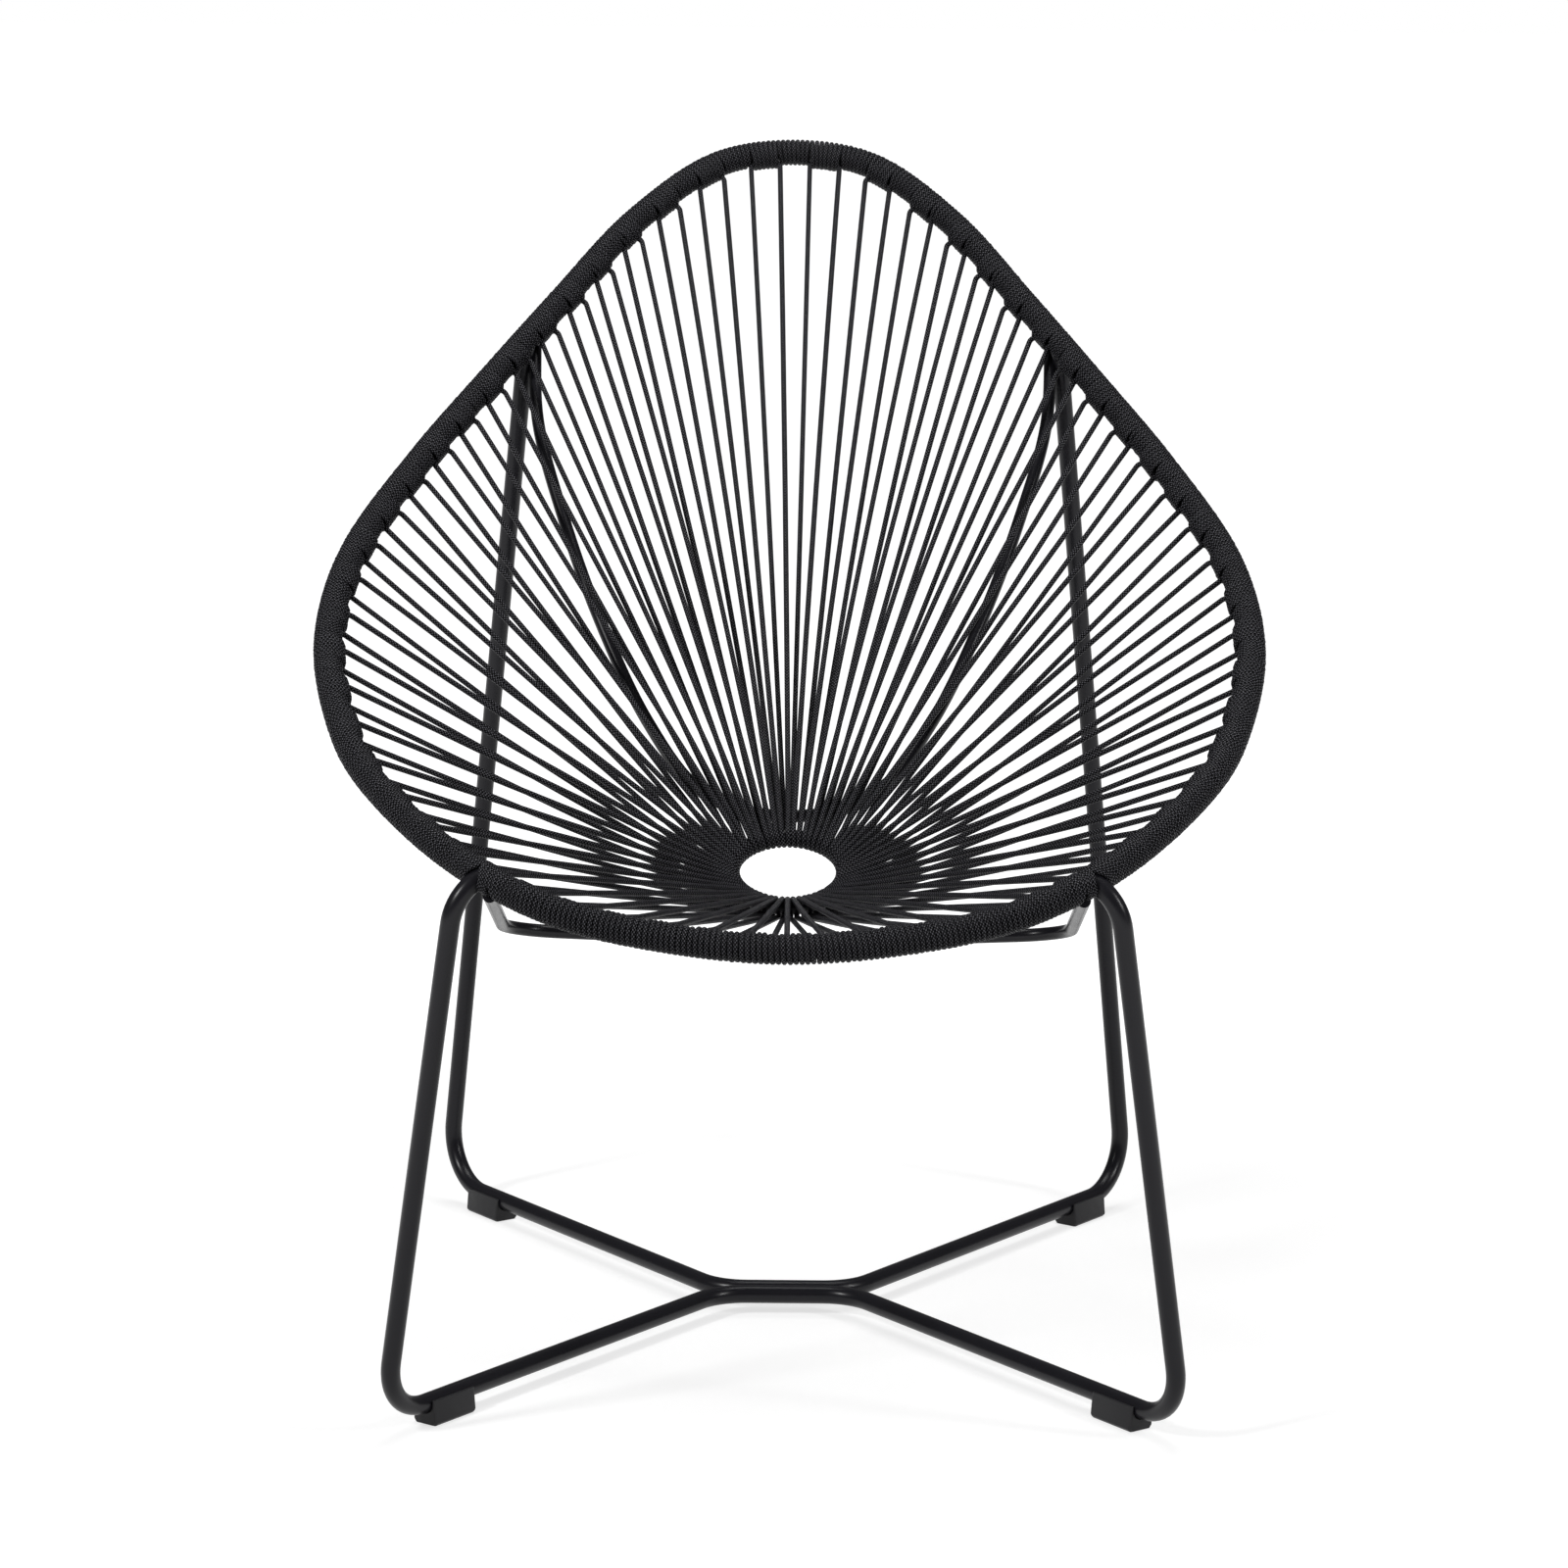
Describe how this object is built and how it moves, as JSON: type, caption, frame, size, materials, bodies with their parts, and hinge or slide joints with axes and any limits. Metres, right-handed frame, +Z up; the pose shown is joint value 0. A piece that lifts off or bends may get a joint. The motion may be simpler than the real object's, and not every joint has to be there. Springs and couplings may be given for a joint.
{
  "type": "acapulco chair",
  "caption": "Low lounge chair: rope-strung pear-shaped bucket seat on a bent steel tube base with plastic glides.",
  "frame": {"origin": "on the floor, at the centre of the chair's footprint box (the box of the whole chair seen from above)", "axes": "+Z up from the floor, the chair faces -Y, +X is to the right of a person who looks at its front"},
  "size_m": [0.7214, 0.8743, 0.9001],
  "materials": {
    "frame": "satin black powder coat",
    "rope": "black braided cord",
    "glide": "black moulded plastic"
  },
  "bodies": {
    "root": {"hoop_tube": "frame", "centre_ring_rod": "frame", "front_leg_tube": "frame", "rear_leg_tube": "frame", "seat_cross_rod": "frame", "back_support_rod": "frame", "hoop_rope_01": "rope", "hoop_rope_02": "rope", "hoop_rope_03": "rope", "hoop_rope_04": "rope", "hoop_rope_05": "rope", "hoop_rope_06": "rope", "hoop_rope_07": "rope", "hoop_rope_08": "rope", "hoop_rope_09": "rope", "hoop_rope_10": "rope", "hoop_rope_11": "rope", "hoop_rope_12": "rope", "hoop_rope_13": "rope", "hoop_rope_14": "rope", "hoop_rope_15": "rope", "hoop_rope_16": "rope", "hoop_rope_17": "rope", "hoop_rope_18": "rope", "hoop_rope_19": "rope", "hoop_rope_20": "rope", "seat_rope_01": "rope", "seat_rope_02": "rope", "seat_rope_03": "rope", "seat_rope_04": "rope", "seat_rope_05": "rope", "seat_rope_06": "rope", "seat_rope_07": "rope", "seat_rope_08": "rope", "seat_rope_09": "rope", "seat_rope_10": "rope", "seat_rope_11": "rope", "seat_rope_12": "rope", "seat_rope_13": "rope", "seat_rope_14": "rope", "seat_rope_15": "rope", "seat_rope_16": "rope", "seat_rope_17": "rope", "seat_rope_18": "rope", "seat_rope_19": "rope", "seat_rope_20": "rope", "glide_front_left": "glide", "glide_front_right": "glide", "glide_rear_left": "glide", "glide_rear_right": "glide"}
  },
  "joints": []
}
